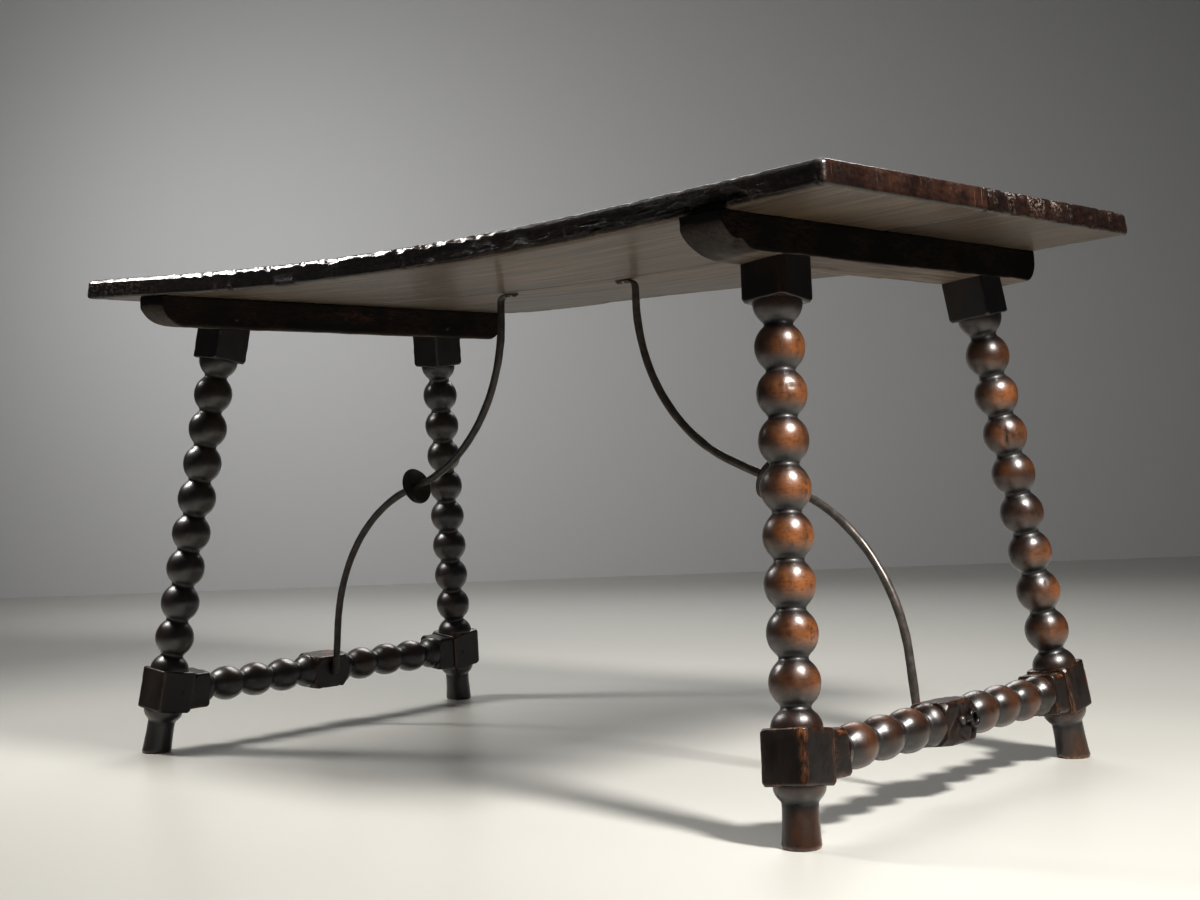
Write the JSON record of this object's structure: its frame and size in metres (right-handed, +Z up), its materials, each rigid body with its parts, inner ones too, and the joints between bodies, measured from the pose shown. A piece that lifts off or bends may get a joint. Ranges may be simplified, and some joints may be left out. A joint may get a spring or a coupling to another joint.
{
  "type": "trestle table",
  "caption": "Dark trestle table with a sagged plank top, leaning bobbin-turned leg frames, turned stretchers and S-curved iron stays that brace the frames to the underside.",
  "frame": {"origin": "on the floor, under the middle of the table", "axes": "+X along the table's length, +Y across it towards the back, +Z up"},
  "size_m": [1.42, 0.75, 0.755],
  "materials": {
    "top_walnut": "dark waxed boards with worn, chipped edges",
    "bearer_walnut": "near-black waxed wood",
    "turned_walnut": "dark reddish-brown turned wood, waxed to a gloss",
    "forged_iron": "dark forged iron with a satin patina",
    "peg_oak": "dark waxed peg ends"
  },
  "bodies": {
    "root": {"top_board_front": "top_walnut", "top_board_back": "top_walnut", "top_seam_dowels": "peg_oak", "bearer_right": "bearer_walnut", "leg_front_right": "turned_walnut", "leg_back_right": "turned_walnut", "stretcher_right": "turned_walnut", "iron_stay_right": "forged_iron", "stay_collar_right": "forged_iron", "bearer_nails_right": "forged_iron", "stay_lug_nails_right": "forged_iron", "leg_tenon_pegs_right": "peg_oak", "stretcher_tenon_pegs_right": "peg_oak", "bearer_left": "bearer_walnut", "leg_front_left": "turned_walnut", "leg_back_left": "turned_walnut", "stretcher_left": "turned_walnut", "iron_stay_left": "forged_iron", "stay_collar_left": "forged_iron", "bearer_nails_left": "forged_iron", "stay_lug_nails_left": "forged_iron", "leg_tenon_pegs_left": "peg_oak", "stretcher_tenon_pegs_left": "peg_oak"}
  },
  "joints": []
}
